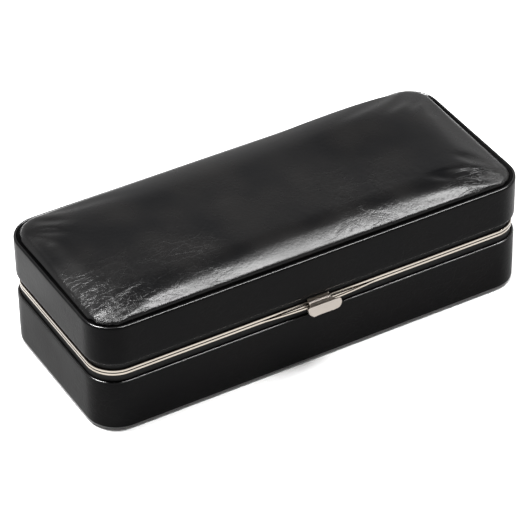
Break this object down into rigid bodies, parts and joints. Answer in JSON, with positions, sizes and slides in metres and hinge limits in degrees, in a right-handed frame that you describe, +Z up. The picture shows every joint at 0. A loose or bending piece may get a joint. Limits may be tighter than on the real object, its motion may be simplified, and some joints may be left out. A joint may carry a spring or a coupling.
{
  "type": "watch box",
  "caption": "Leather-covered clamshell watch box with a padded lid, metal edge frames, a sprung front clasp and a row of watch pillows.",
  "frame": {"origin": "under the middle of the case outline, on the plane that the case rests on", "axes": "+X along the case, its longest side; +Y towards the hinges, with the clasp at -Y; +Z up"},
  "size_m": [0.31, 0.1389, 0.0895],
  "materials": {
    "black_leather": "creased, half gloss",
    "board": "raw fibreboard",
    "collar": "matte black",
    "frame_metal": "warm satin nickel",
    "clasp_metal": "matte warm nickel",
    "fastener_steel": "satin",
    "spring_steel": "drawn wire",
    "lining": "short black velvet",
    "felt": "felt",
    "foam": "open cell foam",
    "pillow_velvet": "short velvet over foam"
  },
  "bodies": {
    "base": {"base_felt": "felt", "base_board": "board", "base_walls": "board", "base_leather": "black_leather", "base_collar": "collar", "lower_frame": "frame_metal", "lower_frame_nails": "fastener_steel", "base_lining": "lining", "floor_pad": "lining", "divider_1": "lining", "divider_2": "lining", "divider_3": "lining", "divider_4": "lining", "hinge_base_leaf_left": "fastener_steel", "hinge_base_leaf_right": "fastener_steel", "hinge_pin_left": "fastener_steel", "hinge_pin_right": "fastener_steel", "hinge_rivets_base": "fastener_steel", "clasp_bracket": "clasp_metal", "clasp_pin": "fastener_steel", "clasp_spring": "spring_steel", "clasp_rivets": "fastener_steel"},
    "lid": {"lid_walls": "board", "lid_board": "board", "lid_leather": "black_leather", "lid_foam": "foam", "lid_cushion": "black_leather", "lid_collar": "collar", "upper_frame": "frame_metal", "upper_frame_nails": "fastener_steel", "lid_lining": "lining", "lid_inner_pad": "lining", "hinge_lid_leaf_left": "fastener_steel", "hinge_lid_leaf_right": "fastener_steel", "hinge_rivets_lid": "fastener_steel", "clasp_keeper": "clasp_metal", "keeper_rivets": "fastener_steel"},
    "lever": {"clasp_lever": "clasp_metal"},
    "pillow_1": {"watch_pillow_1": "pillow_velvet"},
    "pillow_2": {"watch_pillow_2": "pillow_velvet"},
    "pillow_3": {"watch_pillow_3": "pillow_velvet"},
    "pillow_4": {"watch_pillow_4": "pillow_velvet"},
    "pillow_5": {"watch_pillow_5": "pillow_velvet"}
  },
  "joints": [
    {"name": "lid_hinge", "type": "hinge", "parent": "base", "child": "lid", "pos_m": [0, 0.0649, 0.0443], "axis": [-1, 0, 0], "range_deg": [0, 100]},
    {"name": "clasp_pivot", "type": "hinge", "parent": "base", "child": "lever", "pos_m": [0, -0.068, 0.0413], "axis": [1, 0, 0], "range_deg": [0, 15], "stiffness_Nm_per_rad": 0.03, "springref_deg": -11.46},
    {"name": "pillow_lift_1", "type": "slide", "parent": "base", "child": "pillow_1", "axis": [0, 0, 1], "range_m": [0, 0.022]},
    {"name": "pillow_lift_2", "type": "slide", "parent": "base", "child": "pillow_2", "axis": [0, 0, 1], "range_m": [0, 0.022]},
    {"name": "pillow_lift_3", "type": "slide", "parent": "base", "child": "pillow_3", "axis": [0, 0, 1], "range_m": [0, 0.022]},
    {"name": "pillow_lift_4", "type": "slide", "parent": "base", "child": "pillow_4", "axis": [0, 0, 1], "range_m": [0, 0.022]},
    {"name": "pillow_lift_5", "type": "slide", "parent": "base", "child": "pillow_5", "axis": [0, 0, 1], "range_m": [0, 0.022]}
  ]
}
